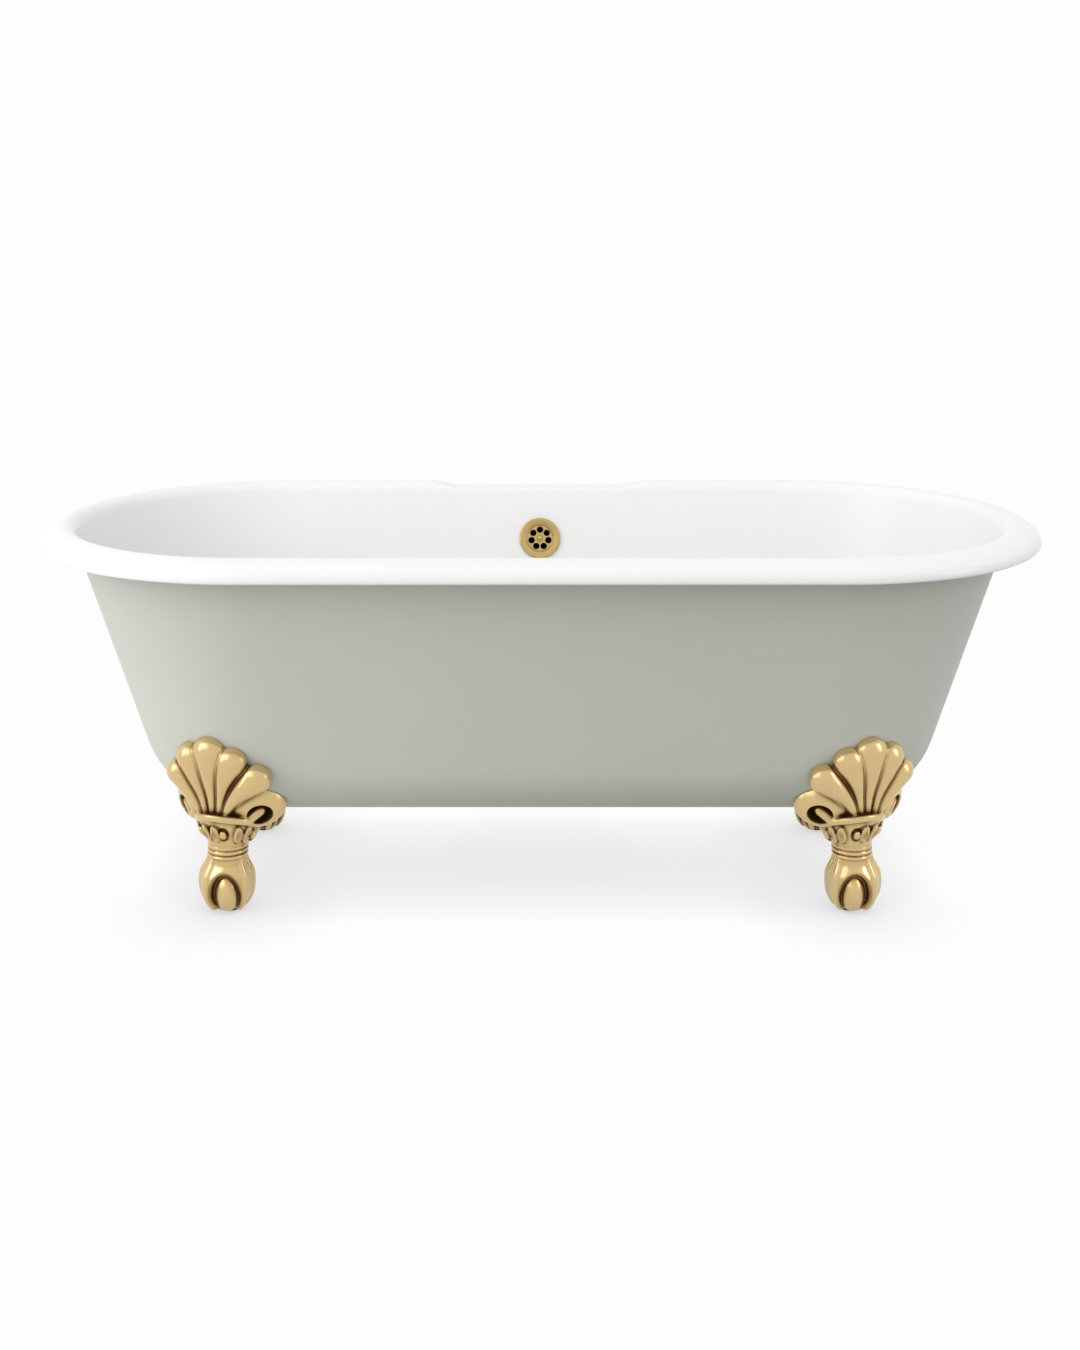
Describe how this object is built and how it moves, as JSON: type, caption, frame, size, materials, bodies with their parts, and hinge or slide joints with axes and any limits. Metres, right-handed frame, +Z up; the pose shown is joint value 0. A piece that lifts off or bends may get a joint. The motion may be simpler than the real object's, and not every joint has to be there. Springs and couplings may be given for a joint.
{
  "type": "cast iron bathtub",
  "caption": "Freestanding double-ended roll top bath in enamelled cast iron on shell and claw feet, with overflow, waste and lift plug.",
  "frame": {"origin": "on the floor under the middle of the tub", "axes": "+X along the tub, +Y to the back with the tap ledge and overflow, +Z up"},
  "size_m": [1.7, 0.77, 0.648],
  "materials": {
    "tub_iron": "white vitreous enamel inside and over the rim, sage paint outside",
    "foot_iron": "polished gold lacquer",
    "steel": "zinc plated",
    "rubber": "matt",
    "brass": "polished"
  },
  "bodies": {
    "bath": {"tub_shell": "tub_iron", "foot_front_left": "foot_iron", "foot_front_right": "foot_iron", "foot_rear_left": "foot_iron", "foot_rear_right": "foot_iron", "foot_bolts": "steel", "foot_washers": "steel", "plug_spring": "steel", "overflow_gasket": "rubber", "waste_flange_seal": "rubber", "waste_body_seal": "rubber", "overflow_face": "brass", "overflow_screw": "brass", "overflow_elbow": "brass", "overflow_pipe": "brass", "pipe_nuts": "brass", "waste_flange": "brass", "waste_body": "brass", "plug_sleeve": "brass"},
    "plug": {"plug_cap": "brass", "plug_seal": "rubber", "plug_stem": "brass"},
    "glide_front_left": {"glide_pad_front_left": "rubber", "levelling_screw_front_left": "steel"},
    "glide_front_right": {"glide_pad_front_right": "rubber", "levelling_screw_front_right": "steel"},
    "glide_rear_left": {"glide_pad_rear_left": "rubber", "levelling_screw_rear_left": "steel"},
    "glide_rear_right": {"glide_pad_rear_right": "rubber", "levelling_screw_rear_right": "steel"}
  },
  "joints": [
    {"name": "plug_lift", "type": "slide", "parent": "bath", "child": "plug", "axis": [0, 0, 1], "range_m": [0, 0.009], "deforming": ["plug_spring"]},
    {"name": "level_front_left", "type": "slide", "parent": "bath", "child": "glide_front_left", "axis": [0, 0, -1], "range_m": [0, 0.0105]},
    {"name": "level_front_right", "type": "slide", "parent": "bath", "child": "glide_front_right", "axis": [0, 0, -1], "range_m": [0, 0.0105]},
    {"name": "level_rear_left", "type": "slide", "parent": "bath", "child": "glide_rear_left", "axis": [0, 0, -1], "range_m": [0, 0.0105]},
    {"name": "level_rear_right", "type": "slide", "parent": "bath", "child": "glide_rear_right", "axis": [0, 0, -1], "range_m": [0, 0.0105]}
  ]
}
